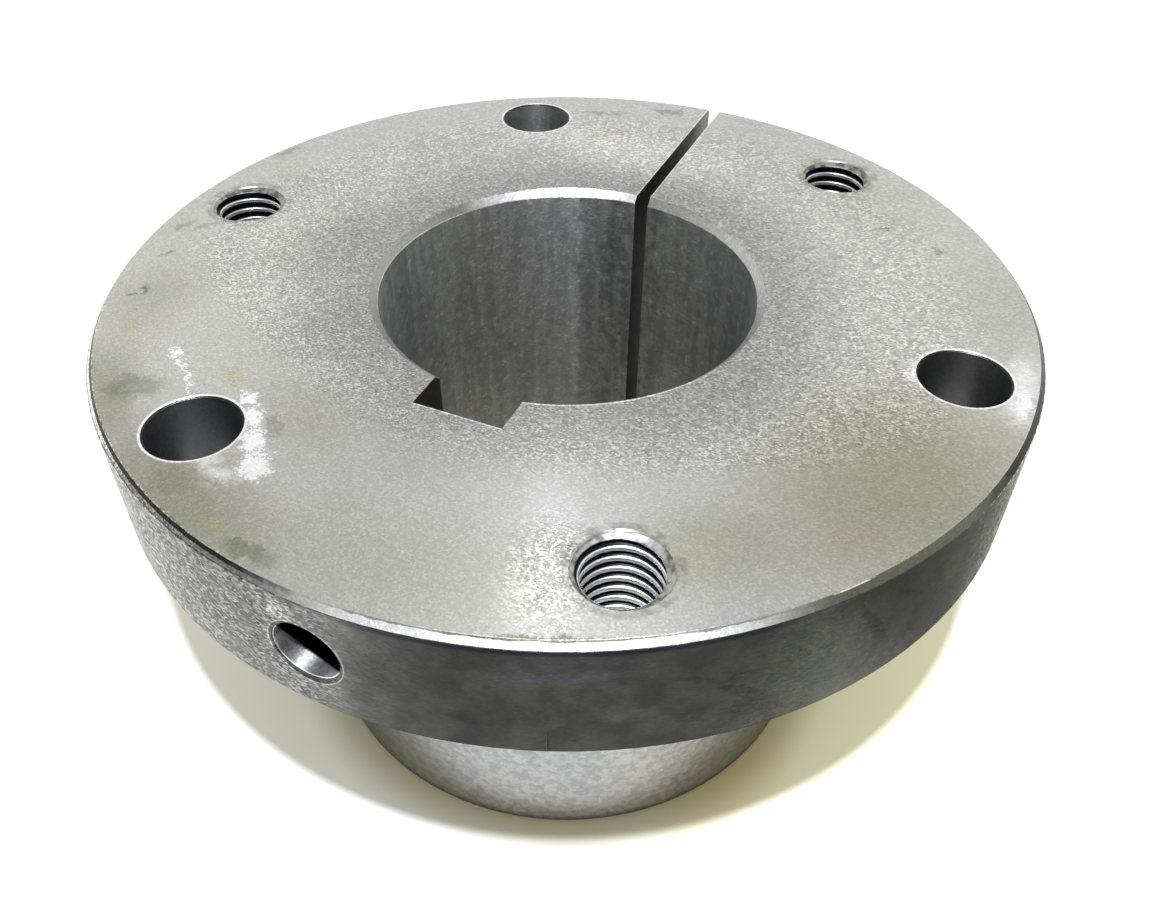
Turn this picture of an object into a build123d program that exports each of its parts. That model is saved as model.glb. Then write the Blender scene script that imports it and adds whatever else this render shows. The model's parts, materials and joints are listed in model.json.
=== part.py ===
from build123d import *
import os

# Split taper bushing with a flange, turned, drilled, tapped and sawn from one iron casting.
# Its tapered barrel slides into the hub of a pulley or gear. Screws through the flange draw the taper in,
# the slit closes, and the bore grips a keyed shaft.
# It stands on the small end of the barrel. The origin is the centre of that end, +Z runs up the bore
# to the flange, -Y points at the keyway and +Y at the slit. All lengths are in millimetres.

# Tapered barrel, which narrows by 3/4 inch of diameter in a foot of length
barrel_length = 71.4375
barrel_root_diameter = 114.3
taper_on_diameter = 0.0625
barrel_root_fillet = 1.6
barrel_end_chamfer = 0.8

# Flange, whose width is the wall inside its ring of holes, the plain hole and the wall outside them
flange_thickness = 23.8125
wall_inside_holes = 6.7375
wall_outside_holes = 5.15
rim_chamfer = 1.15
back_edge_chamfer = 0.5

# Bore, with a keyway whose depth is measured at its side
bore_diameter = 69.85
bore_chamfer = 1.45
keyway_width = 15.875
keyway_depth = 8.73

# Slit through the whole wall, opposite the keyway and sawn a little to the +X side of the middle
slit_width = 2.78
slit_offset = 1.15

# Holes through the flange on one circle: plain ones alternate with tapped ones for jacking screws
holes_of_each_kind = 3
clear_hole_diameter = 15.1
clear_hole_chamfer = 0.3
jack_thread_diameter = 14.2875
jack_hole_chamfer = 0.25

# Hole from the rim of the flange to the keyway, for the screw that holds the key, drilled a little
# to the -X side of the middle
key_screw_hole_diameter = 10.8
key_screw_countersink_diameter = 12.0
countersink_angle = 90
key_screw_hole_offset = 2.1

# Sizes and places that follow from those above
overall_length = barrel_length + flange_thickness
barrel_root_radius = barrel_root_diameter / 2
barrel_end_radius = barrel_root_radius - barrel_length * taper_on_diameter / 2
hole_circle_radius = barrel_root_radius + wall_inside_holes + clear_hole_diameter / 2
flange_radius = hole_circle_radius + clear_hole_diameter / 2 + wall_outside_holes
bore_radius = bore_diameter / 2
angle_between_holes = 360 / (2 * holes_of_each_kind)
keyway_side_start = (bore_radius**2 - (keyway_width / 2) ** 2) ** 0.5
keyway_floor = keyway_side_start + keyway_depth

outer_face = Plane.XY.offset(overall_length)
key_screw_seat = Plane(
    origin=(-key_screw_hole_offset, -flange_radius, overall_length - flange_thickness / 2),
    x_dir=(1, 0, 0),
    z_dir=(0, -1, 0),
)


with BuildPart() as bushing:
    # The turned body: half a section through the wall, spun about the bore
    with BuildSketch(Plane.XZ):
        with BuildLine():
            Polyline(
                (bore_radius, 0),
                (barrel_end_radius, 0),
                (barrel_root_radius, barrel_length),
                (flange_radius, barrel_length),
                (flange_radius, overall_length),
                (bore_radius, overall_length),
                close=True,
            )
        make_face()
    revolve(axis=Axis.Z)

    # Edges broken on the lathe: each flat face has its bore edge first and its outer edge last
    turned_edges = bushing.edges().filter_by(GeomType.CIRCLE).group_by(Axis.Z)
    end_edges = turned_edges[0].sort_by(SortBy.RADIUS)
    flange_back_edges = turned_edges[1].sort_by(SortBy.RADIUS)
    outer_face_edges = turned_edges[-1].sort_by(SortBy.RADIUS)
    fillet(flange_back_edges[0], radius=barrel_root_fillet)
    chamfer(flange_back_edges[-1], length=back_edge_chamfer)
    chamfer(outer_face_edges[-1], length=rim_chamfer)
    chamfer(end_edges[-1], length=barrel_end_chamfer)
    chamfer([end_edges[0], outer_face_edges[0]], length=bore_chamfer)

    # Plain holes for the screws that draw the taper in, lightly deburred on both faces
    with Locations(outer_face):
        with PolarLocations(hole_circle_radius, holes_of_each_kind):
            Hole(radius=clear_hole_diameter / 2)
    chamfer(bushing.edges(Select.LAST).filter_by(GeomType.CIRCLE), length=clear_hole_chamfer)

    # Tapped holes for the screws that jack the bushing out again, at the full diameter of their thread
    with Locations(outer_face):
        with PolarLocations(hole_circle_radius, holes_of_each_kind, start_angle=angle_between_holes):
            Hole(radius=jack_thread_diameter / 2)
    chamfer(bushing.edges(Select.LAST).filter_by(GeomType.CIRCLE), length=jack_hole_chamfer)

    # Keyway, broached along the whole bore
    with BuildSketch(Plane.XY):
        Rectangle(keyway_width, keyway_floor, align=(Align.CENTER, Align.MAX))
    extrude(amount=overall_length, mode=Mode.SUBTRACT)

    # Slit, sawn from the bore out past the rim
    with BuildSketch(Plane.XY):
        with Locations((slit_offset, 0)):
            Rectangle(slit_width, 2 * flange_radius, align=(Align.CENTER, Align.MIN))
    extrude(amount=overall_length, mode=Mode.SUBTRACT)

    # Key screw hole, countersunk at the rim and open into the keyway
    with Locations(key_screw_seat):
        CounterSinkHole(
            radius=key_screw_hole_diameter / 2,
            counter_sink_radius=key_screw_countersink_diameter / 2,
            depth=flange_radius,
            counter_sink_angle=countersink_angle,
        )

bushing.part.label = "bushing"

os.makedirs("parts", exist_ok=True)
export_step(bushing.part, "parts/bushing.step")
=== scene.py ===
import json
import math

import bpy
import numpy as np
from mathutils import Matrix, Vector


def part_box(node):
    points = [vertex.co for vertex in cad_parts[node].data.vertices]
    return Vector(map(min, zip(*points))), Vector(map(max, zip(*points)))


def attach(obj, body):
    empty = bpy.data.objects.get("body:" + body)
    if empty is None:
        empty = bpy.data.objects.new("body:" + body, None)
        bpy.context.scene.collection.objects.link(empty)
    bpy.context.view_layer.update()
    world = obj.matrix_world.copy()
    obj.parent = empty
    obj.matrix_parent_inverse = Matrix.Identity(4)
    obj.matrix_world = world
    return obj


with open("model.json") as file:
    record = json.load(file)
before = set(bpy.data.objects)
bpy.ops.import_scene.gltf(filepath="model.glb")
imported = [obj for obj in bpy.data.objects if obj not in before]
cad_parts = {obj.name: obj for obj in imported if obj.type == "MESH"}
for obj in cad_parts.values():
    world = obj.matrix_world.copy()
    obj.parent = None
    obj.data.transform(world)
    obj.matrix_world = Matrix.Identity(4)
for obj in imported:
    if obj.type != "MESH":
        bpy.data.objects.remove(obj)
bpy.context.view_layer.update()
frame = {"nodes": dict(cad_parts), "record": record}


# Casting: a split taper bushing of grey iron, turned, drilled, broached and sawn from one casting.
# Its flange is sandy and dull, with scuffs that carry a painted highlight, oil and fingermarks on the outer face, and a
# rim dark at the front, partly with oil and partly with painted shade, while the front of the chamfer is a painted
# highlight and the ground barrel and the burrs of the holes are bright.

bushing = frame["nodes"]["bushing"]
mounts = {mount["name"]: mount for mount in frame["record"]["mounts"]}
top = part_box("bushing")[1].z
flange_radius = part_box("bushing")[1].x
flange_back = 2 * mounts["flange_holes"]["pos_m"][2] - top
hole_circle = mounts["flange_holes"]["dims"]["pcd_mm"] / 2000
clear_hole_radius = mounts["flange_holes"]["dims"]["hole_r_mm"] / 1000
jack_holes = [mounts[name] for name in ("jack_hole_1", "jack_hole_2", "jack_hole_3")]
thread_radius = jack_holes[0]["dims"]["r_mm"] / 1000
key_screw_radius = mounts["key_screw_hole"]["dims"]["r_mm"] / 1000
key_screw_x = mounts["key_screw_hole"]["pos_m"][0]
key_screw_z = mounts["key_screw_hole"]["pos_m"][2]
bore_radius = mounts["bore"]["dims"]["r_mm"] / 1000
bore_chamfer = 0.00145
rim_chamfer = 0.00115
barrel_least_radius = 0.050
clear_hole_chamfer = 0.0003
key_screw_countersink = 0.0006
keyway_floor = 0.04274
keyway_half_width = 0.0079375
slit_x = 0.00115
slit_half_width = 0.00139
skin = 0.0001


class Finish:
    """The nodes of one material, or of the world. A number, a colour or a node's output can go into an input."""

    def __init__(self, owner):
        self.owner = owner
        owner.use_nodes = True
        self.tree = owner.node_tree
        self.tree.nodes.clear()
        self.place = self.add("ShaderNodeTexCoord").outputs["Object"]
        self.x, self.y, self.z = self.add("ShaderNodeSeparateXYZ", {0: self.place}).outputs
        self.plan = self.flat(self.x, self.y)

    def add(self, kind, inputs=None, **settings):
        """One node, with its settings and inputs given by name or number."""
        node = self.tree.nodes.new(kind)
        for key, value in settings.items():
            setattr(node, key, value)
        for key, value in (inputs or {}).items():
            if isinstance(value, bpy.types.NodeSocket):
                self.tree.links.new(value, node.inputs[key])
            else:
                node.inputs[key].default_value = value
        return node

    def math(self, operation, first, second=0.0):
        """One sum of two values."""
        return self.add("ShaderNodeMath", {0: first, 1: second}, operation=operation).outputs[0]

    def vector(self, operation, first, second=(0.0, 0.0, 0.0)):
        """One sum of two vectors, where scaling takes a number."""
        inputs = {0: first, "Scale" if operation == "SCALE" else 1: second}
        node = self.add("ShaderNodeVectorMath", inputs, operation=operation)
        return node.outputs["Value" if operation in ("DISTANCE", "LENGTH", "DOT_PRODUCT") else "Vector"]

    def flat(self, across, along):
        """A point of a flat map, from its two coordinates."""
        return self.add("ShaderNodeCombineXYZ", {0: across, 1: along}).outputs[0]

    def over(self, value, limit):
        """1 where the value is over the limit, else 0."""
        return self.math("GREATER_THAN", value, limit)

    def under(self, value, limit):
        """1 where the value is under the limit, else 0."""
        return self.math("LESS_THAN", value, limit)

    def both(self, first, second):
        """1 where both masks are 1."""
        return self.math("MULTIPLY", first, second)

    def between(self, value, least, most):
        """1 where the value lies between two limits, else 0."""
        return self.both(self.over(value, least), self.under(value, most))

    def near(self, value, middle, reach):
        """1 where the value is within reach of the middle, else 0."""
        return self.between(value, middle - reach, middle + reach)

    def ramp(self, value, start, end, low=0.0, high=1.0):
        """Goes smoothly from low to high as the value goes from start to end."""
        inputs = {"Value": value, "From Min": start, "From Max": end, "To Min": low, "To Max": high}
        return self.add("ShaderNodeMapRange", inputs, interpolation_type="SMOOTHSTEP").outputs[0]

    def noise(self, size, place=None, detail=2.0):
        """Soft 3D noise from 0 to 1, whose blobs are about that size in metres."""
        inputs = {"Vector": place or self.place, "Scale": 1 / size, "Detail": detail}
        return self.add("ShaderNodeTexNoise", inputs).outputs["Fac"]

    def mix(self, mask, first, second):
        """The first value where the mask is 0, the second where it is 1."""
        return self.add("ShaderNodeMix", {0: mask, 2: first, 3: second}, data_type="FLOAT").outputs[0]

    def blend(self, mask, first, second):
        """The first colour where the mask is 0, the second where it is 1."""
        return self.add("ShaderNodeMix", {0: mask, 6: first, 7: second}, data_type="RGBA").outputs[2]

    def stain(self, mask, colour, dye):
        """The colour multiplied by the dye, as far as the mask says."""
        inputs = {0: mask, 6: colour, 7: dye}
        return self.add("ShaderNodeMix", inputs, data_type="RGBA", blend_type="MULTIPLY").outputs[2]

    def distance(self, centre):
        """How far the point is from a centre given as x and y, seen along the bore."""
        return self.vector("DISTANCE", self.plan, (*centre, 0.0))

    def nearest(self, centres):
        """How far the point is from the nearest of some centres, seen along the bore."""
        near = self.distance(centres[0])
        for centre in centres[1:]:
            near = self.math("MINIMUM", near, self.distance(centre))
        return near

    def blot(self, place, centre, half_length, half_width, degrees, edge=0.6):
        """1 inside an oval on a flat map, turned by some degrees, and 0 outside its soft edge."""
        cosine, sine = math.cos(math.radians(degrees)), math.sin(math.radians(degrees))
        offset = self.vector("SUBTRACT", place, (*centre, 0.0))
        along = self.vector("DOT_PRODUCT", offset, (cosine / half_length, sine / half_length, 0.0))
        across = self.vector("DOT_PRODUCT", offset, (-sine / half_width, cosine / half_width, 0.0))
        return self.ramp(self.vector("LENGTH", self.flat(along, across)), 1.0, 1.0 - edge)


def round_holes(first_degrees):
    """The centres of three holes on the hole circle, from the angle of the first one."""
    angles = [math.radians(first_degrees + turn * 120) for turn in range(3)]
    return [(hole_circle * math.cos(angle), hole_circle * math.sin(angle)) for angle in angles]


iron = Finish(bpy.data.materials.new("turned_grey_iron"))
radius = iron.distance((0.0, 0.0))
degrees_round = iron.math("DEGREES", iron.math("ARCTAN2", iron.y, iron.x))
from_clear_hole = iron.nearest(round_holes(0))
from_jack_hole = iron.nearest([mount["pos_m"][:2] for mount in jack_holes])
from_key_screw = iron.vector("DISTANCE", iron.flat(iron.x, iron.z), (key_screw_x, key_screw_z, 0.0))

is_face = iron.over(iron.z, top - skin)
is_rim = iron.both(iron.over(radius, flange_radius - 2 * skin), iron.under(iron.z, top - rim_chamfer + skin))
is_bore = iron.under(radius, bore_radius + skin)
is_flange_edge = iron.both(
    iron.over(radius, flange_radius - rim_chamfer - skin), iron.over(iron.z, top - rim_chamfer - skin))
is_back_edge = iron.both(iron.over(radius, flange_radius - 0.0007), iron.under(iron.z, flange_back + 0.0006))
is_bore_edge = iron.both(iron.under(radius, bore_radius + bore_chamfer), iron.over(iron.z, top - bore_chamfer))
is_barrel = iron.both(iron.under(iron.z, flange_back - skin), iron.over(radius, barrel_least_radius))
is_clear_wall = iron.under(from_clear_hole, clear_hole_radius + clear_hole_chamfer)
is_clear_burr = iron.both(
    iron.under(from_clear_hole, clear_hole_radius + clear_hole_chamfer + 3.5 * skin), iron.over(iron.z, top - skin / 2))
is_jack_edge = iron.both(iron.under(from_jack_hole, thread_radius + 4 * skin), iron.over(iron.z, top - 0.0005))
is_keyway = iron.both(iron.near(iron.x, 0.0, keyway_half_width + skin), iron.under(iron.y, -bore_radius * 0.96))
is_keyway = iron.both(is_keyway, iron.under(radius, keyway_floor + 0.0012))
is_slit = iron.both(iron.near(iron.x, slit_x, slit_half_width + skin), iron.over(iron.y, bore_radius))
by_key_screw = iron.under(iron.y, -keyway_floor)
is_key_screw_wall = iron.both(iron.under(from_key_screw, key_screw_radius + skin), by_key_screw)
is_key_screw_sink = iron.both(
    iron.under(from_key_screw, key_screw_radius + key_screw_countersink + skin),
    iron.under(iron.y, -flange_radius + 0.002))
is_key_screw_burr = iron.both(
    iron.under(from_key_screw, key_screw_radius + key_screw_countersink + 3 * skin),
    iron.under(iron.y, -flange_radius + 0.002))


grain_size = iron.mix(is_rim, iron.ramp(iron.y, -flange_radius, flange_radius, 0.00034, 0.00056), 0.00060)
grain = iron.add("ShaderNodeTexVoronoi", {
    "Vector": iron.vector("MULTIPLY", iron.place, (1.0, 1.0, 2.2)),
    "Scale": iron.math("DIVIDE", 1.0, grain_size)}).outputs["Color"]
grain_tone = iron.add("ShaderNodeSeparateColor", {0: grain}).outputs[2]
cluster = iron.noise(0.0022)
speckle = iron.noise(0.0016, detail=1.0)
cloud = iron.noise(0.022)
wobble = iron.vector("SUBTRACT", iron.flat(cluster, speckle), (0.5, 0.5, 0.0))
wobble = iron.vector("ADD", wobble, iron.vector("SCALE", iron.vector("SUBTRACT", grain, (0.5, 0.5, 0.5)), 0.2))
unrolled = iron.flat(iron.math("MULTIPLY", degrees_round, math.radians(flange_radius)), iron.z)
frayed_plan = iron.vector("ADD", iron.plan, iron.vector("SCALE", wobble, 0.0036))
frayed_rim = iron.vector("ADD", unrolled, iron.vector("SCALE", wobble, 0.0016))
wavering = iron.math("ADD", degrees_round, iron.math("MULTIPLY", iron.math("SUBTRACT", cluster, 0.5), 6.0))


def stretch(starts, full, fades, ends):
    """1 along a stretch of the circle, from the degrees where it starts and is full to where it fades and ends."""
    return iron.both(iron.ramp(wavering, starts, full), iron.ramp(wavering, ends, fades))


def grainy(mask):
    """The mask broken up into grains, of which more are 1 the nearer the mask is to 1."""
    return iron.ramp(iron.math("SUBTRACT", iron.math("MULTIPLY", mask, 1.3), grain_tone), 0.0, 0.3)


# The outer face is a sandy grey, darker round the bore. Broad patches of painted light lie on it: painted shade
# at the front corners, and painted highlights at the back and in the lamp's glare beside the front tapped hole
painted_light_patches = [
    ((-0.0300, -0.0745), 0.030, 0.0150, -22, (0.62, 0.615, 0.52, 1)),
    ((-0.0570, -0.0600), 0.017, 0.0115, -52, (0.68, 0.690, 0.60, 1)),
    ((-0.0660, -0.0380), 0.020, 0.0120, -65, (0.86, 0.865, 0.80, 1)),
    ((-0.0216, -0.0520), 0.015, 0.0110, -30, (0.84, 0.845, 0.81, 1)),
    ((-0.0490, -0.0060), 0.022, 0.0130, 90, (0.85, 0.850, 0.84, 1)),
    ((-0.0260, 0.0480), 0.013, 0.0090, 25, (0.91, 0.91, 0.91, 1)),
    ((0.0440, -0.0550), 0.018, 0.0130, 38, (0.86, 0.870, 0.75, 1)),
    ((0.0670, -0.0290), 0.037, 0.0270, 66, (0.69, 0.680, 0.52, 1)),
    ((0.0740, 0.0250), 0.032, 0.0150, 105, (0.93, 0.93, 0.92, 1)),
    ((-0.0330, -0.0320), 0.022, 0.0150, 45, (0.91, 0.915, 0.905, 1)),
    ((0.0120, -0.0740), 0.046, 0.0160, 10, (0.91, 0.925, 0.82, 1)),
    ((-0.0100, 0.0530), 0.034, 0.0150, 0, (1.18, 1.18, 1.17, 1)),
    ((0.0220, -0.0550), 0.018, 0.0065, -72, (1.15, 1.15, 1.16, 1)),
    ((0.0280, -0.0710), 0.011, 0.0095, -68, (1.30, 1.30, 1.33, 1)),
]
face_colour = iron.stain(iron.ramp(radius, 0.058, 0.037), (0.54, 0.54, 0.51, 1), (0.68, 0.685, 0.69, 1))
face_colour = iron.stain(iron.ramp(cloud, 0.45, 0.75, 0.0, 0.5), face_colour, (0.86, 0.865, 0.85, 1))
for centre, half_length, half_width, degrees, dye in painted_light_patches:
    face_colour = iron.stain(iron.blot(frayed_plan, centre, half_length, half_width, degrees, 0.9), face_colour, dye)

# Marks on the outer face: dark smudges and stains, then the bright scuff beside the plain hole at the left and a thin
# scrape above it, worn places painted with the lamp's highlight, and the worn strip outside the plain hole at the right
stains = [
    ((-0.0630, -0.0450), 0.0032, 0.0018, -60, (0.98, 0.97, 0.84, 1)),
    ((-0.0372, -0.0490), 0.0040, 0.0026, -30, (0.93, 0.94, 0.76, 1)),
    ((-0.0510, -0.0574), 0.0066, 0.0040, 24, (0.70, 0.71, 0.65, 1)),
    ((-0.0500, -0.0630), 0.0080, 0.0035, -50, (0.88, 0.89, 0.80, 1)),
    ((-0.0245, -0.0565), 0.0040, 0.0012, -48, (0.80, 0.74, 0.72, 1)),
    ((-0.0310, -0.0725), 0.0050, 0.0034, -20, (0.94, 0.88, 0.84, 1)),
    ((-0.0195, -0.0780), 0.0050, 0.0020, -14, (1.10, 1.00, 0.86, 1)),
    ((-0.0120, -0.0800), 0.0060, 0.0022, -8, (0.66, 0.68, 0.60, 1)),
    ((-0.0690, -0.0342), 0.0020, 0.0006, -50, (0.50, 0.50, 0.47, 1)),
    ((-0.0697, -0.0362), 0.0015, 0.0006, 10, (0.50, 0.50, 0.47, 1)),
    ((-0.0736, -0.0227), 0.0022, 0.0009, 60, (0.62, 0.62, 0.60, 1)),
    ((-0.0775, -0.0125), 0.0036, 0.0013, 80, (0.70, 0.70, 0.68, 1)),
    ((-0.0738, -0.0115), 0.0040, 0.0013, 60, (0.76, 0.76, 0.74, 1)),
    ((-0.0783, 0.0226), 0.0050, 0.0016, 74, (0.72, 0.72, 0.70, 1)),
    ((0.0610, 0.0390), 0.0020, 0.0010, 0, (0.60, 0.60, 0.58, 1)),
    ((0.0500, 0.0430), 0.0018, 0.0009, 30, (0.62, 0.62, 0.60, 1)),
    ((-0.0225, 0.0705), 0.0080, 0.0012, 18, (0.72, 0.72, 0.70, 1)),
    ((-0.0086, 0.0778), 0.0050, 0.0018, 5, (0.66, 0.66, 0.64, 1)),
    ((-0.0165, 0.0612), 0.0056, 0.0016, 46, (0.84, 0.82, 0.76, 1)),
    ((0.0630, -0.0436), 0.0060, 0.0040, 60, (1.00, 0.965, 0.93, 1)),
    ((0.0314, -0.0771), 0.0125, 0.0011, 22, (0.55, 0.53, 0.46, 1)),
]
scuffs_and_glare = [
    ((-0.0322, -0.0524), 0.0030, 0.0018, -20),
    ((-0.0290, -0.0558), 0.0044, 0.0023, -50),
    ((-0.0252, -0.0606), 0.0050, 0.0032, -52),
    ((-0.0215, -0.0650), 0.0054, 0.0038, -42),
    ((-0.0508, -0.0476), 0.0024, 0.0014, -40),
    ((-0.0480, -0.0498), 0.0024, 0.0010, -40),
    ((-0.0448, -0.0519), 0.0026, 0.0006, -38),
    ((-0.0424, -0.0540), 0.0022, 0.0006, -50),
    ((0.0636, -0.0022), 0.0048, 0.0018, 100),
    ((0.0812, -0.0030), 0.0056, 0.0020, 97),
]
faint_scuffs_and_glare = [
    ((-0.0250, -0.0690), 0.0050, 0.0028, 8),
    ((-0.0285, -0.0672), 0.0030, 0.0022, 30),
    ((0.0803, 0.0020), 0.0130, 0.0040, 90),
    ((0.0803, -0.0050), 0.0070, 0.0040, 108),
]
for centre, half_length, half_width, degrees, dye in stains:
    face_colour = iron.stain(iron.blot(frayed_plan, centre, half_length, half_width, degrees), face_colour, dye)
scuff_and_glare, faint = 0.0, 0.0
for centre, half_length, half_width, degrees in scuffs_and_glare:
    scuff_and_glare = iron.math("MAXIMUM", scuff_and_glare, iron.blot(frayed_plan, centre, half_length, half_width, degrees, 0.85))
for centre, half_length, half_width, degrees in faint_scuffs_and_glare:
    faint = iron.math("MAXIMUM", faint, iron.blot(frayed_plan, centre, half_length, half_width, degrees, 0.9))
scuff_and_glare = iron.math("MAXIMUM", grainy(scuff_and_glare), iron.math("MULTIPLY", faint, 0.62))
scuff_and_glare = iron.math("MULTIPLY", scuff_and_glare, iron.ramp(grain_tone, 0.0, 1.0, 1.0, 0.80))
face_colour = iron.blend(scuff_and_glare, face_colour, (0.97, 0.97, 0.99, 1))

# Sawn and broached edges of the face shine in thin lines, partly burrs and partly painted highlight. The bored edge has
# a thin painted highlight at the front. The tapped holes are darker round their edge, a painted shade of a worn, sunk
# lip
from_slit = iron.math("ABSOLUTE", iron.math("SUBTRACT", iron.x, slit_x))
sawn_line = iron.both(iron.under(from_slit, slit_half_width + 2 * skin), iron.over(iron.y, bore_radius))
broached_line = iron.both(iron.near(iron.y, -keyway_floor, 2.5 * skin), iron.near(iron.x, 0.0, keyway_half_width))
bored_line = iron.both(iron.under(radius, bore_radius + bore_chamfer + 3 * skin), stretch(-100, -85, -40, -20))
burr_and_highlight_lines = iron.math("MAXIMUM", iron.math("MAXIMUM", sawn_line, broached_line), bored_line)
face_colour = iron.blend(iron.math("MULTIPLY", burr_and_highlight_lines, 0.7), face_colour, (0.86, 0.86, 0.85, 1))
worn_lip_shade = iron.both(iron.ramp(from_jack_hole, 0.0090, 0.0083), iron.ramp(cluster, 0.35, 0.6))
face_colour = iron.stain(worn_lip_shade, face_colour, (0.72, 0.72, 0.69, 1))

# The rim is sandy like the face at the left, and from the key screw hole round to +X smooth and dark, partly with oil
# and partly with painted shade. It is painted lighter at the left and olive at +X: painted reflections
oil_and_shade = stretch(-93, -85, -30, -8)
oil_cloud = iron.ramp(iron.noise(0.005), 0.36, 0.64)
# Painted reflections: the rim is lighter at the left and olive at +X
sandy_rim_painted_light = iron.blend(iron.ramp(degrees_round, -136, -96), (0.440, 0.440, 0.425, 1), (0.200, 0.200, 0.195, 1))
right_rim_painted_olive = iron.ramp(degrees_round, -34, -6)
sandy_rim_painted_light = iron.blend(right_rim_painted_olive, sandy_rim_painted_light, (0.48, 0.49, 0.37, 1))
oil_and_shade_colour = iron.blend(oil_cloud, (0.128, 0.129, 0.125, 1), (0.182, 0.183, 0.174, 1))
oil_and_shade_colour = iron.stain(stretch(-93, -84, -77, -70), oil_and_shade_colour, (0.76, 0.76, 0.76, 1))
oil_and_shade_colour = iron.stain(iron.ramp(degrees_round, -64, -44), oil_and_shade_colour, (0.49, 0.51, 0.41, 1))
rim_colour = iron.blend(oil_and_shade, sandy_rim_painted_light, oil_and_shade_colour)
rim_marks = [
    ((-93.6, 0.0908), 0.0036, 0.0024, -14, (1.55, 1.55, 1.6, 1)),
    ((-43.0, 0.0865), 0.0055, 0.0006, -43, (1.5, 1.5, 1.4, 1)),
    ((-35.5, 0.0855), 0.0085, 0.0014, -58, (0.50, 0.50, 0.48, 1)),
    ((-31.0, 0.0880), 0.0050, 0.0008, -40, (0.60, 0.60, 0.56, 1)),
    ((-50.0, 0.0820), 0.0070, 0.0012, -30, (0.68, 0.68, 0.66, 1)),
    ((-54.0, 0.0860), 0.0060, 0.0010, -20, (0.72, 0.72, 0.70, 1)),
    ((-66.0, 0.0888), 0.0130, 0.0012, 3, (1.15, 1.15, 1.25, 1)),
    ((-68.0, 0.0872), 0.0060, 0.0012, 0, (1.25, 1.22, 1.00, 1)),
    ((-60.0, 0.0800), 0.0050, 0.0020, 10, (1.25, 1.25, 1.22, 1)),
    ((-74.0, 0.0785), 0.0060, 0.0022, 0, (0.80, 0.80, 0.80, 1)),
    ((-24.0, 0.0860), 0.0050, 0.0040, 90, (1.25, 1.3, 1.1, 1)),
    ((-10.0, 0.0850), 0.0060, 0.0020, 90, (1.30, 1.3, 1.2, 1)),
]
for (mark_degrees, mark_z), half_length, half_width, degrees, dye in rim_marks:
    centre = (math.radians(mark_degrees) * flange_radius, mark_z)
    rim_colour = iron.stain(iron.blot(frayed_rim, centre, half_length, half_width, degrees), rim_colour, dye)
scratch_arc = math.radians(-67.8) * flange_radius
scratch = iron.blot(unrolled, (scratch_arc, 0.0735), 0.0034, 0.00011, 90)
rim_colour = iron.blend(scratch, rim_colour, (0.020, 0.020, 0.020, 1))
scratch_lip = iron.blot(unrolled, (scratch_arc - 0.00018, 0.0735), 0.0034, 0.00009, 90)
rim_colour = iron.blend(scratch_lip, rim_colour, (0.30, 0.30, 0.30, 1))
under_edge = iron.both(iron.ramp(iron.z, top - 0.0024, top - 0.0017), stretch(-92, -80, -50, -40))
rim_colour = iron.stain(under_edge, rim_colour, (0.42, 0.42, 0.56, 1))

# The chamfer round the face is painted bright at the front, a painted highlight that breaks into grains towards the
# right, under a dark line along its upper edge. At the left it is painted darker, with thin near-black lines along its
# upper and lower edges, and at the right it is painted dark all over: painted dark reflections
edge_colour = iron.blend(iron.ramp(degrees_round, -56, -40), (0.95, 0.95, 0.93, 1), (0.14, 0.145, 0.11, 1))
edge_colour = iron.stain(stretch(-130, -116, -98, -80), edge_colour, (0.20, 0.20, 0.20, 1))
edge_colour = iron.blend(grainy(stretch(-94, -74, -58, -46)), edge_colour, (0.76, 0.76, 0.76, 1))
edge_depth = iron.math("SUBTRACT", top, iron.z)
upper_strip = iron.under(edge_depth, iron.ramp(cluster, 0.3, 0.7, 0.00022, 0.00036))
edge_colour = iron.blend(iron.both(upper_strip, stretch(-92, -84, -50, -42)), edge_colour, (0.30, 0.30, 0.27, 1))
edge_colour = iron.blend(iron.both(upper_strip, stretch(-80, -74, -62, -56)), edge_colour, (0.13, 0.12, 0.09, 1))
thin_lines = iron.math("MAXIMUM", iron.under(edge_depth, 0.00055), iron.over(edge_depth, rim_chamfer - 0.00016))
left_painted_dark_lines = iron.both(thin_lines, stretch(-170, -140, -100, -90))
right_painted_dark = stretch(-24, -12, 22, 36)
edge_colour = iron.blend(iron.math("MAXIMUM", left_painted_dark_lines, right_painted_dark), edge_colour, (0.022, 0.022, 0.018, 1))
# A thin painted glint lies along the top of the chamfer at the front right
lit_edge = iron.both(iron.under(edge_depth, 0.00024), stretch(-41.6, -40.6, -37.4, -36.6))
edge_colour = iron.blend(lit_edge, edge_colour, (0.90, 0.86, 0.62, 1))

# The barrel is ground and mottled, lighter low down, and painted darker round to the sides and at its foot: painted
# shade
mottle = iron.ramp(speckle, 0.35, 0.65)
barrel_colour = iron.blend(mottle, (0.325, 0.326, 0.324, 1), (0.430, 0.431, 0.426, 1))
barrel_colour = iron.stain(iron.ramp(iron.z, 0.016, 0.004), barrel_colour, (1.18, 1.18, 1.20, 1))
barrel_colour = iron.stain(iron.ramp(iron.z, 0.0032, 0.0004), barrel_colour, (0.30, 0.29, 0.26, 1))
barrel_colour = iron.stain(iron.ramp(degrees_round, -56, -28), barrel_colour, (0.58, 0.60, 0.70, 1))
barrel_colour = iron.stain(iron.ramp(degrees_round, -30, -10), barrel_colour, (0.55, 0.56, 0.58, 1))
barrel_colour = iron.stain(iron.ramp(degrees_round, -78, -110), barrel_colour, (0.64, 0.64, 0.65, 1))
barrel_colour = iron.stain(iron.ramp(degrees_round, -100, -122), barrel_colour, (0.48, 0.49, 0.54, 1))
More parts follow.
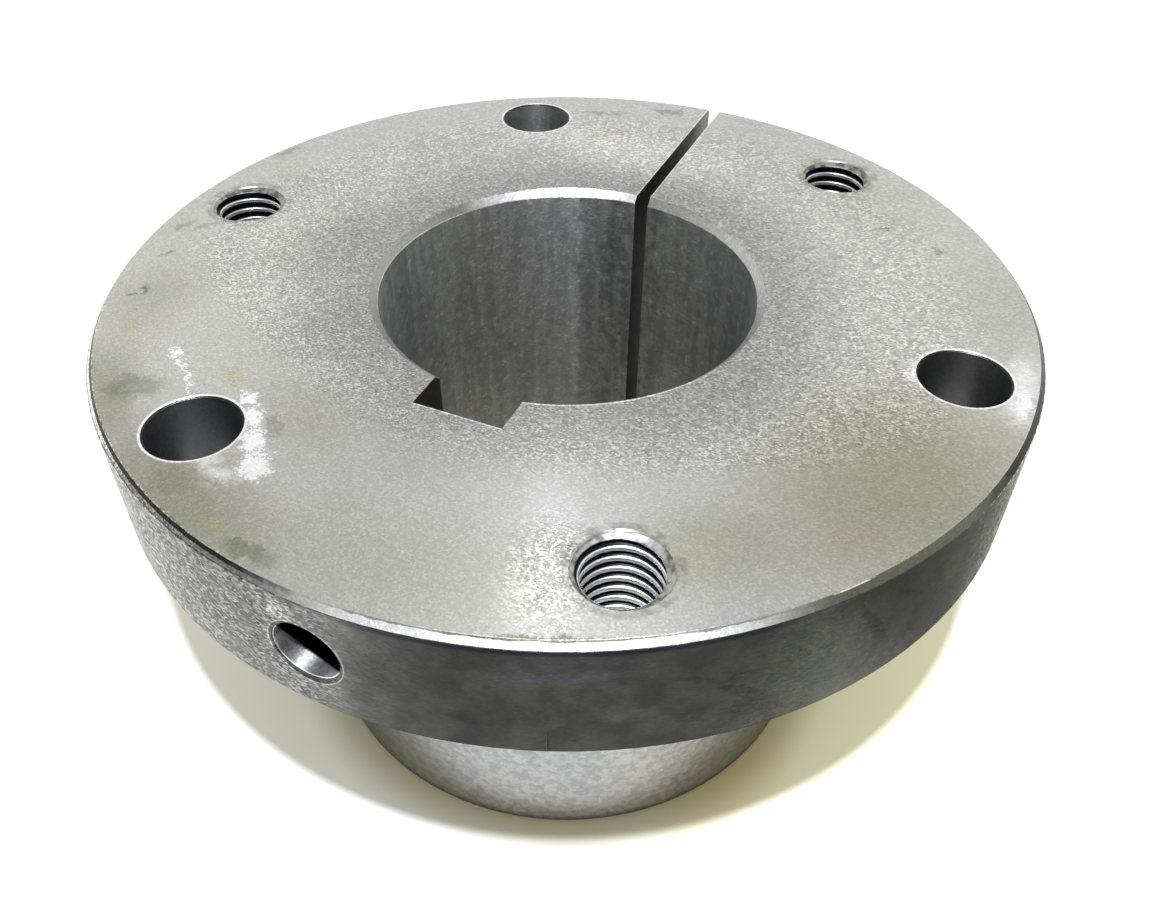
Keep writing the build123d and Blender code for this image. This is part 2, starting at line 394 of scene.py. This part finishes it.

# The bore is mottled, with faint streaks along it from the boring bar, and darker beside the slit, where a band of
# painted shade and a narrow painted light streak lie
streaks = iron.noise(0.0018, iron.vector("MULTIPLY", iron.place, (1.0, 1.0, 0.08)))
bore_mottle = iron.math("ADD", iron.math("MULTIPLY", streaks, 0.5), iron.math("MULTIPLY", cluster, 0.5))
bore_colour = iron.blend(iron.ramp(bore_mottle, 0.38, 0.62), (0.360, 0.367, 0.355, 1), (0.490, 0.502, 0.485, 1))
bore_left = iron.ramp(iron.x, -0.022, -0.033)
bore_colour = iron.stain(bore_left, bore_colour, (1.34, 1.34, 1.34, 1))
bore_colour = iron.stain(iron.ramp(degrees_round, 84, 60), bore_colour, (0.92, 0.92, 0.92, 1))
beside_slit = iron.both(stretch(74, 84, 94, 107), iron.ramp(bore_mottle, 0.60, 0.42, 0.45, 1.0))
bore_colour = iron.stain(beside_slit, bore_colour, (0.68, 0.69, 0.70, 1))
# Painted shade and light: a dark band of painted shade, then a narrow painted light streak
bore_colour = iron.stain(stretch(94, 98, 108, 110.5), bore_colour, (0.80, 0.80, 0.80, 1))
bore_colour = iron.stain(stretch(109.5, 111, 112.5, 114.5), bore_colour, (1.14, 1.15, 1.15, 1))
bore_colour = iron.stain(iron.ramp(iron.z, 0.050, 0.030), bore_colour, (1.14, 1.14, 1.14, 1))
bore_colour = iron.stain(iron.ramp(speckle, 0.64, 0.72), bore_colour, (1.35, 1.35, 1.35, 1))
bore_edge_colour = iron.blend(bore_left, (0.42, 0.42, 0.405, 1), (0.32, 0.32, 0.31, 1))
# Painted highlight: the bore's chamfer is painted bright at the back, where it faces the lamp
lit_bore_edge = stretch(88.5, 91, 140, 153)
bore_edge_colour = iron.blend(lit_bore_edge, bore_edge_colour, (0.86, 0.86, 0.84, 1))

# Painted light: the wall of the back plain hole is painted lighter than the others, and the chamfers of the plain holes
# are painted near-black as painted shade
clear_wall_colour = iron.blend(iron.over(iron.y, 0.03), (0.170, 0.172, 0.174, 1), (0.42, 0.425, 0.43, 1))
clear_wall_colour = iron.blend(iron.over(iron.z, top - clear_hole_chamfer), clear_wall_colour, (0.04, 0.04, 0.04, 1))
# Painted light and shade: the wall of the key screw hole is painted light near its mouth at the lower left and black
# further in, where no light reaches
key_screw_depth = iron.math("ADD", iron.y, flange_radius)
below_middle = iron.vector(
    "DOT_PRODUCT", iron.vector("SUBTRACT", iron.flat(iron.x, iron.z), (key_screw_x, key_screw_z, 0.0)),
    (-0.511, -0.859, 0.0))
in_shade = iron.math("SUBTRACT", iron.math("MULTIPLY", key_screw_depth, 2.01), below_middle)
key_screw_wall_colour = iron.blend(
    iron.ramp(iron.x, key_screw_x - 0.0052, key_screw_x - 0.0030), (0.80, 0.80, 0.79, 1), (1.0, 1.0, 0.98, 1))
key_screw_wall_colour = iron.stain(iron.ramp(speckle, 0.50, 0.62), key_screw_wall_colour, (0.78, 0.78, 0.78, 1))
key_screw_wall_colour = iron.blend(
    iron.ramp(in_shade, 0.0013, 0.0021), key_screw_wall_colour, (0.006, 0.006, 0.006, 1))

colour = iron.blend(is_barrel, (0.36, 0.36, 0.35, 1), barrel_colour)
colour = iron.blend(is_flange_edge, colour, edge_colour)
colour = iron.blend(is_bore_edge, colour, bore_edge_colour)
# Painted shade: the walls of the slit are painted near-black
colour = iron.blend(is_slit, colour, (0.045, 0.047, 0.050, 1))
colour = iron.blend(is_face, colour, face_colour)
colour = iron.blend(is_rim, colour, rim_colour)
# Painted shade: the back edge of the flange is near-black where the rim is oily and shaded
colour = iron.blend(iron.both(is_back_edge, oil_and_shade), colour, (0.030, 0.030, 0.030, 1))
colour = iron.blend(is_keyway, colour, (0.085, 0.080, 0.070, 1))
colour = iron.blend(iron.both(is_keyway, is_face), colour, face_colour)
colour = iron.blend(is_bore, colour, bore_colour)
colour = iron.blend(is_jack_edge, colour, face_colour)
colour = iron.blend(is_clear_wall, colour, clear_wall_colour)
colour = iron.blend(is_clear_burr, colour, (0.86, 0.86, 0.86, 1))
colour = iron.blend(is_key_screw_burr, colour, (0.40, 0.40, 0.40, 1))
colour = iron.blend(is_key_screw_sink, colour, (0.10, 0.10, 0.10, 1))
colour = iron.blend(is_key_screw_wall, colour, key_screw_wall_colour)

# Each grain of the sandy skin lies at its own small tilt and has its own tone
smooth_front = iron.ramp(iron.y, -0.014, -0.050, 0.0, 0.021)
inner_ring = iron.ramp(iron.math("ADD", radius, smooth_front), 0.077, 0.066)
glare_grains = iron.blot(iron.plan, (0.027, -0.066), 0.017, 0.010, -68, 0.8)
inner_sand = iron.ramp(iron.y, -0.030, 0.050, 0.82, 0.60)
sandiness = iron.math("MAXIMUM", iron.mix(inner_ring, 0.24, inner_sand), glare_grains)
sandiness = iron.mix(is_face, 0.30, sandiness)
sandiness = iron.mix(is_flange_edge, sandiness, iron.ramp(degrees_round, -112, -90, 1.5, 0.30))
sandiness = iron.mix(is_rim, sandiness, iron.mix(oil_and_shade, 1.8, 0.30))
sandiness = iron.mix(is_barrel, sandiness, 0.25)
sandiness = iron.mix(is_bore, sandiness, 0.30)
sandiness = iron.both(sandiness, iron.ramp(cluster, 0.3, 0.7, 0.65, 1.0))
sparkle = iron.math("SUBTRACT", iron.math("MULTIPLY", iron.math("POWER", grain_tone, 2.0), 1.3), 0.43)
colour = iron.vector("SCALE", colour, iron.math("ADD", 1.0, iron.math("MULTIPLY", sparkle, sandiness)))

tilt = iron.math("MULTIPLY", iron.math("MINIMUM", sandiness, 0.8), 0.30)
tilt = iron.vector("SCALE", iron.vector("SUBTRACT", grain, (0.5, 0.5, 0.5)), tilt)
facing = iron.add("ShaderNodeNewGeometry").outputs["Normal"]
facing = iron.vector("NORMALIZE", iron.vector("ADD", facing, tilt))
bump = iron.add("ShaderNodeBump", {
    "Strength": 0.4, "Distance": 0.00005, "Height": cluster, "Normal": facing}).outputs[0]

roughness = iron.mix(is_face, 0.38, 0.42)
roughness = iron.mix(is_rim, roughness, iron.mix(oil_and_shade, 0.45, 0.32))
roughness = iron.mix(is_barrel, roughness, 0.30)
roughness = iron.mix(is_bore, roughness, 0.42)
roughness = iron.mix(is_flange_edge, roughness, 0.40)
tangent = iron.add("ShaderNodeTangent", direction_type="RADIAL", axis="Z").outputs[0]
surface = iron.add("ShaderNodeBsdfPrincipled", {
    "Base Color": colour, "Metallic": 1.0, "Roughness": roughness, "Normal": bump,
    "Anisotropic": 0.5, "Anisotropic Rotation": 0.25, "Tangent": tangent,
})
iron.add("ShaderNodeOutputMaterial", {"Surface": surface.outputs[0]})
bushing.material_slots[0].material = iron.owner


# Threads: three holes tapped 9/16-12 through the flange, for the screws that jack the bushing out of its hub.
# Each is a cut thread with painted shade in its roots, bright on its crests and flanks, and sunk at both faces.
# It is a closed sleeve whose outside lies in the iron.

thread_pitch = 0.0254 / 12
thread_start = 0.44
thread_root = 0.00705
thread_crest = 0.00598
root_flat = thread_pitch / 16
flank_slope = math.sqrt(3)
countersink_radius = thread_radius + 0.00025
countersink_depth = 0.00095
sleeve_starts = 0.00028
sleeve_outside = 0.0073
points_around = 112
rows_in_pitch = 22

thread_metal = Finish(bpy.data.materials.new("cut_thread"))
cut_streaks = thread_metal.noise(0.0006, detail=3.0)
from_axis = thread_metal.nearest([mount["pos_m"][:2] for mount in jack_holes])
thread_colour = thread_metal.blend(cut_streaks, (0.72, 0.72, 0.73, 1), (0.95, 0.94, 0.93, 1))
# Painted shade: the roots of the thread are painted near-black
thread_colour = thread_metal.blend(
    thread_metal.ramp(from_axis, 0.00612, 0.00628), thread_colour, (0.012, 0.013, 0.014, 1))
sunk = thread_metal.over(thread_metal.z, top - countersink_depth)
sunk_dirt = thread_metal.ramp(thread_metal.noise(0.0016), 0.35, 0.65)
sunk_colour = thread_metal.blend(sunk_dirt, (0.13, 0.13, 0.12, 1), (0.42, 0.42, 0.39, 1))
thread_colour = thread_metal.blend(sunk, thread_colour, sunk_colour)
thread_bump = thread_metal.add("ShaderNodeBump", {
    "Strength": 0.3, "Distance": 0.00003, "Height": cut_streaks}).outputs[0]
thread_surface = thread_metal.add("ShaderNodeBsdfPrincipled", {
    "Base Color": thread_colour, "Metallic": 1.0, "Normal": thread_bump,
    "Roughness": thread_metal.mix(sunk, 0.40, 0.5)})
thread_metal.add("ShaderNodeOutputMaterial", {"Surface": thread_surface.outputs[0]})


def thread_radius_at(height, angle):
    """The inside of a tapped hole. Along a helix of one pitch a turn the distance from the groove's middle gives
    the depth: root, then a flank of 30 degrees, then crest. A cone opens both ends, flatter below its mouth."""
    phase = height / thread_pitch - angle / (2 * np.pi) - thread_start
    from_groove = np.abs(2 * (phase % 1.0) - 1.0) * thread_pitch / 2
    cut = np.clip(thread_root - (from_groove - root_flat) * flank_slope, thread_crest, thread_root)
    from_face = np.minimum(top - height, height - flange_back)
    cone = countersink_radius - from_face - 0.7 * (from_face - sleeve_starts)
    return np.maximum(cut, cone)


def thread_sleeve(name, centre):
    """A closed ring round one hole: rows of points up the threaded inside and back down a plain outside."""
    rows = round((top - flange_back) / thread_pitch * rows_in_pitch)
    inside_z = np.linspace(flange_back + sleeve_starts, top - sleeve_starts, rows)
    height = np.append(inside_z, [inside_z[-1], inside_z[0]])[:, None]
    angle = np.linspace(0, 2 * np.pi, points_around, endpoint=False)[None, :]
    spread = thread_radius_at(height, angle)
    spread[-2:] = sleeve_outside
    points = np.stack([
        centre[0] + spread * np.cos(angle), centre[1] + spread * np.sin(angle), height + 0 * angle], axis=-1)
    row = np.arange(rows + 2)[:, None]
    step = np.arange(points_around)[None, :]
    next_row = (row + 1) % (rows + 2)
    next_step = (step + 1) % points_around
    corners = [row * points_around + step, next_row * points_around + step,
               next_row * points_around + next_step, row * points_around + next_step]
    faces = np.stack([corner + 0 * step for corner in corners], axis=-1).reshape(-1, 4)
    mesh = bpy.data.meshes.new(name)
    mesh.from_pydata(points.reshape(-1, 3).tolist(), [], faces.tolist())
    mesh.materials.append(thread_metal.owner)
    mesh.polygons.foreach_set("use_smooth", np.ones(len(faces), bool))
    sleeve = bpy.data.objects.new(name, mesh)
    bpy.context.scene.collection.objects.link(sleeve)
    return sleeve


for number, mount in enumerate(jack_holes, start=1):
    sleeve = thread_sleeve(f"jack_thread_{number}", mount["pos_m"][:2])
    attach(sleeve, "root")


# Floor: a plain sheet of white paper under the bushing, which keeps the shadow of the flange.
# Two grey cards lie on it in front and to the right as painted shade, the front one where the camera's shadow falls.
# Only polished metal sees them, as a darker side of the room.

floor_half = 2.0
view_turn = math.radians(23.977)
card_height = 0.001

paper = Finish(bpy.data.materials.new("white_paper"))
rays = paper.add("ShaderNodeLightPath").outputs
shown = paper.math("MAXIMUM", rays["Is Camera Ray"], rays["Is Glossy Ray"])
shown = paper.math("MAXIMUM", shown, rays["Is Transmission Ray"])
from_barrel = paper.distance((0.0, 0.0))
# Painted light: a warm tint of bounced light on the paper to the right
paper_colour = paper.stain(
    paper.blot(paper.plan, (0.075, -0.005), 0.080, 0.045, 68, 0.8), (0.92, 0.94, 0.91, 1), (1.12, 1.06, 0.83, 1))
paper_colour = paper.stain(
    paper.blot(paper.plan, (0.050, -0.029), 0.026, 0.010, 60, 0.8), paper_colour, (0.96, 0.90, 0.76, 1))
# Painted shadow: a dark contact shadow round the barrel's foot
paper_colour = paper.stain(paper.ramp(from_barrel, 0.0660, 0.0550), paper_colour, (0.55, 0.50, 0.37, 1))
diffuse = paper.add("ShaderNodeBsdfDiffuse", {"Color": paper_colour}).outputs[0]
whiteness = paper.ramp(from_barrel, 0.15, 0.40, 0.03, 0.6)
glow = paper.add("ShaderNodeEmission", {"Strength": paper.math("MULTIPLY", shown, whiteness)})
together = paper.add("ShaderNodeAddShader", {0: diffuse, 1: glow.outputs[0]}).outputs[0]
paper.add("ShaderNodeOutputMaterial", {"Surface": together})

painted_shade_card = Finish(bpy.data.materials.new("painted_shade_card"))
card_shade = painted_shade_card.add("ShaderNodeEmission", {"Strength": 0.30})
painted_shade_card.add("ShaderNodeOutputMaterial", {"Surface": card_shade.outputs[0]})


def sheet(name, left, right, front, back, height, material):
    """A flat sheet facing up, given by its sides as seen from the camera."""
    corners = [(left, front, height), (right, front, height), (right, back, height), (left, back, height)]
    mesh = bpy.data.meshes.new(name)
    mesh.from_pydata(corners, [], [(0, 1, 2, 3)])
    mesh.transform(Matrix.Rotation(view_turn, 4, "Z"))
    mesh.materials.append(material)
    laid = bpy.data.objects.new(name, mesh)
    bpy.context.scene.collection.objects.link(laid)
    return laid


sheet("floor", -floor_half, floor_half, -floor_half, floor_half, 0.0, paper.owner)
shade_cards = [
    sheet("front_shade_card", -0.095, 0.60, -0.90, -0.105, card_height, painted_shade_card.owner),
    sheet("right_shade_card", 0.105, 0.60, -0.105, 0.040, card_height, painted_shade_card.owner),
]
for card in shade_cards:
    card.visible_camera = False
    card.visible_diffuse = False
    card.visible_transmission = False
    card.visible_shadow = False


# Lights: a soft pale room all round, and one small lamp over the camera,
# which throws the round shadow of the flange on the floor and lights the front of the chamfer.

room = Finish(bpy.data.worlds.new("pale_room"))
bpy.context.scene.world = room.owner
towards_camera = Vector((math.sin(view_turn), -math.cos(view_turn), 0))
rays = room.add("ShaderNodeLightPath").outputs
direction = room.add("ShaderNodeTexCoord").outputs["Generated"]
upward = room.vector("DOT_PRODUCT", direction, (0, 0, 1))
forward = room.vector("DOT_PRODUCT", direction, tuple(towards_camera))
mirrored = room.ramp(upward, math.sin(math.radians(30)), math.sin(math.radians(58)), 1.25, 0.50)
mirrored = room.math("MULTIPLY", mirrored, room.ramp(forward, -0.3, 0.5, 1.0, 0.65))
mirrored = room.vector("SCALE", (1.0, 1.0, 1.0), mirrored)
light = room.blend(rays["Is Glossy Ray"], (0.82, 0.81, 0.685, 1), mirrored)
seen_directly = room.math("MAXIMUM", rays["Is Camera Ray"], rays["Is Transmission Ray"])
light = room.blend(seen_directly, light, (1, 1, 1, 1))
background = room.add("ShaderNodeBackground", {"Color": light})
room.add("ShaderNodeOutputWorld", {"Surface": background.outputs[0]})

lamp_place = Vector((0.0707, -0.1597, 0.3292))
lamp_data = bpy.data.lights.new("lamp", "AREA")
lamp_data.shape = "DISK"
lamp_data.size = 0.009
lamp_data.energy = 1.35
lamp_data.color = (0.86, 0.86, 1.0)
lamp = bpy.data.objects.new("lamp", lamp_data)
lamp.location = lamp_place
lamp.rotation_euler = (Vector((0, 0, top)) - lamp_place).to_track_quat("-Z", "Y").to_euler()
bpy.context.scene.collection.objects.link(lamp)


# Camera: it looks down on the outer face from the side of the front tapped hole, from about 0.2 m.

sensor = 36.0
image_width = 1150
focal_length = 1043.28
camera_data = bpy.data.cameras.new("camera")
camera_data.sensor_width = sensor
camera_data.lens = focal_length / image_width * sensor
camera_data.clip_start = 0.01
camera_data.clip_end = 20.0
camera = bpy.data.objects.new("camera", camera_data)
heading = Matrix.Rotation(math.radians(23.422), 4, "Z")
tilt_down = Matrix.Rotation(math.radians(90 - 41.4834), 4, "X")
roll = Matrix.Rotation(math.radians(0.4961), 4, "Z")
camera.matrix_world = Matrix.Translation((0.067067, -0.150799, 0.199482)) @ heading @ tilt_down @ roll
bpy.context.scene.collection.objects.link(camera)
bpy.context.scene.camera = camera
bpy.context.scene.view_settings.view_transform = "Standard"
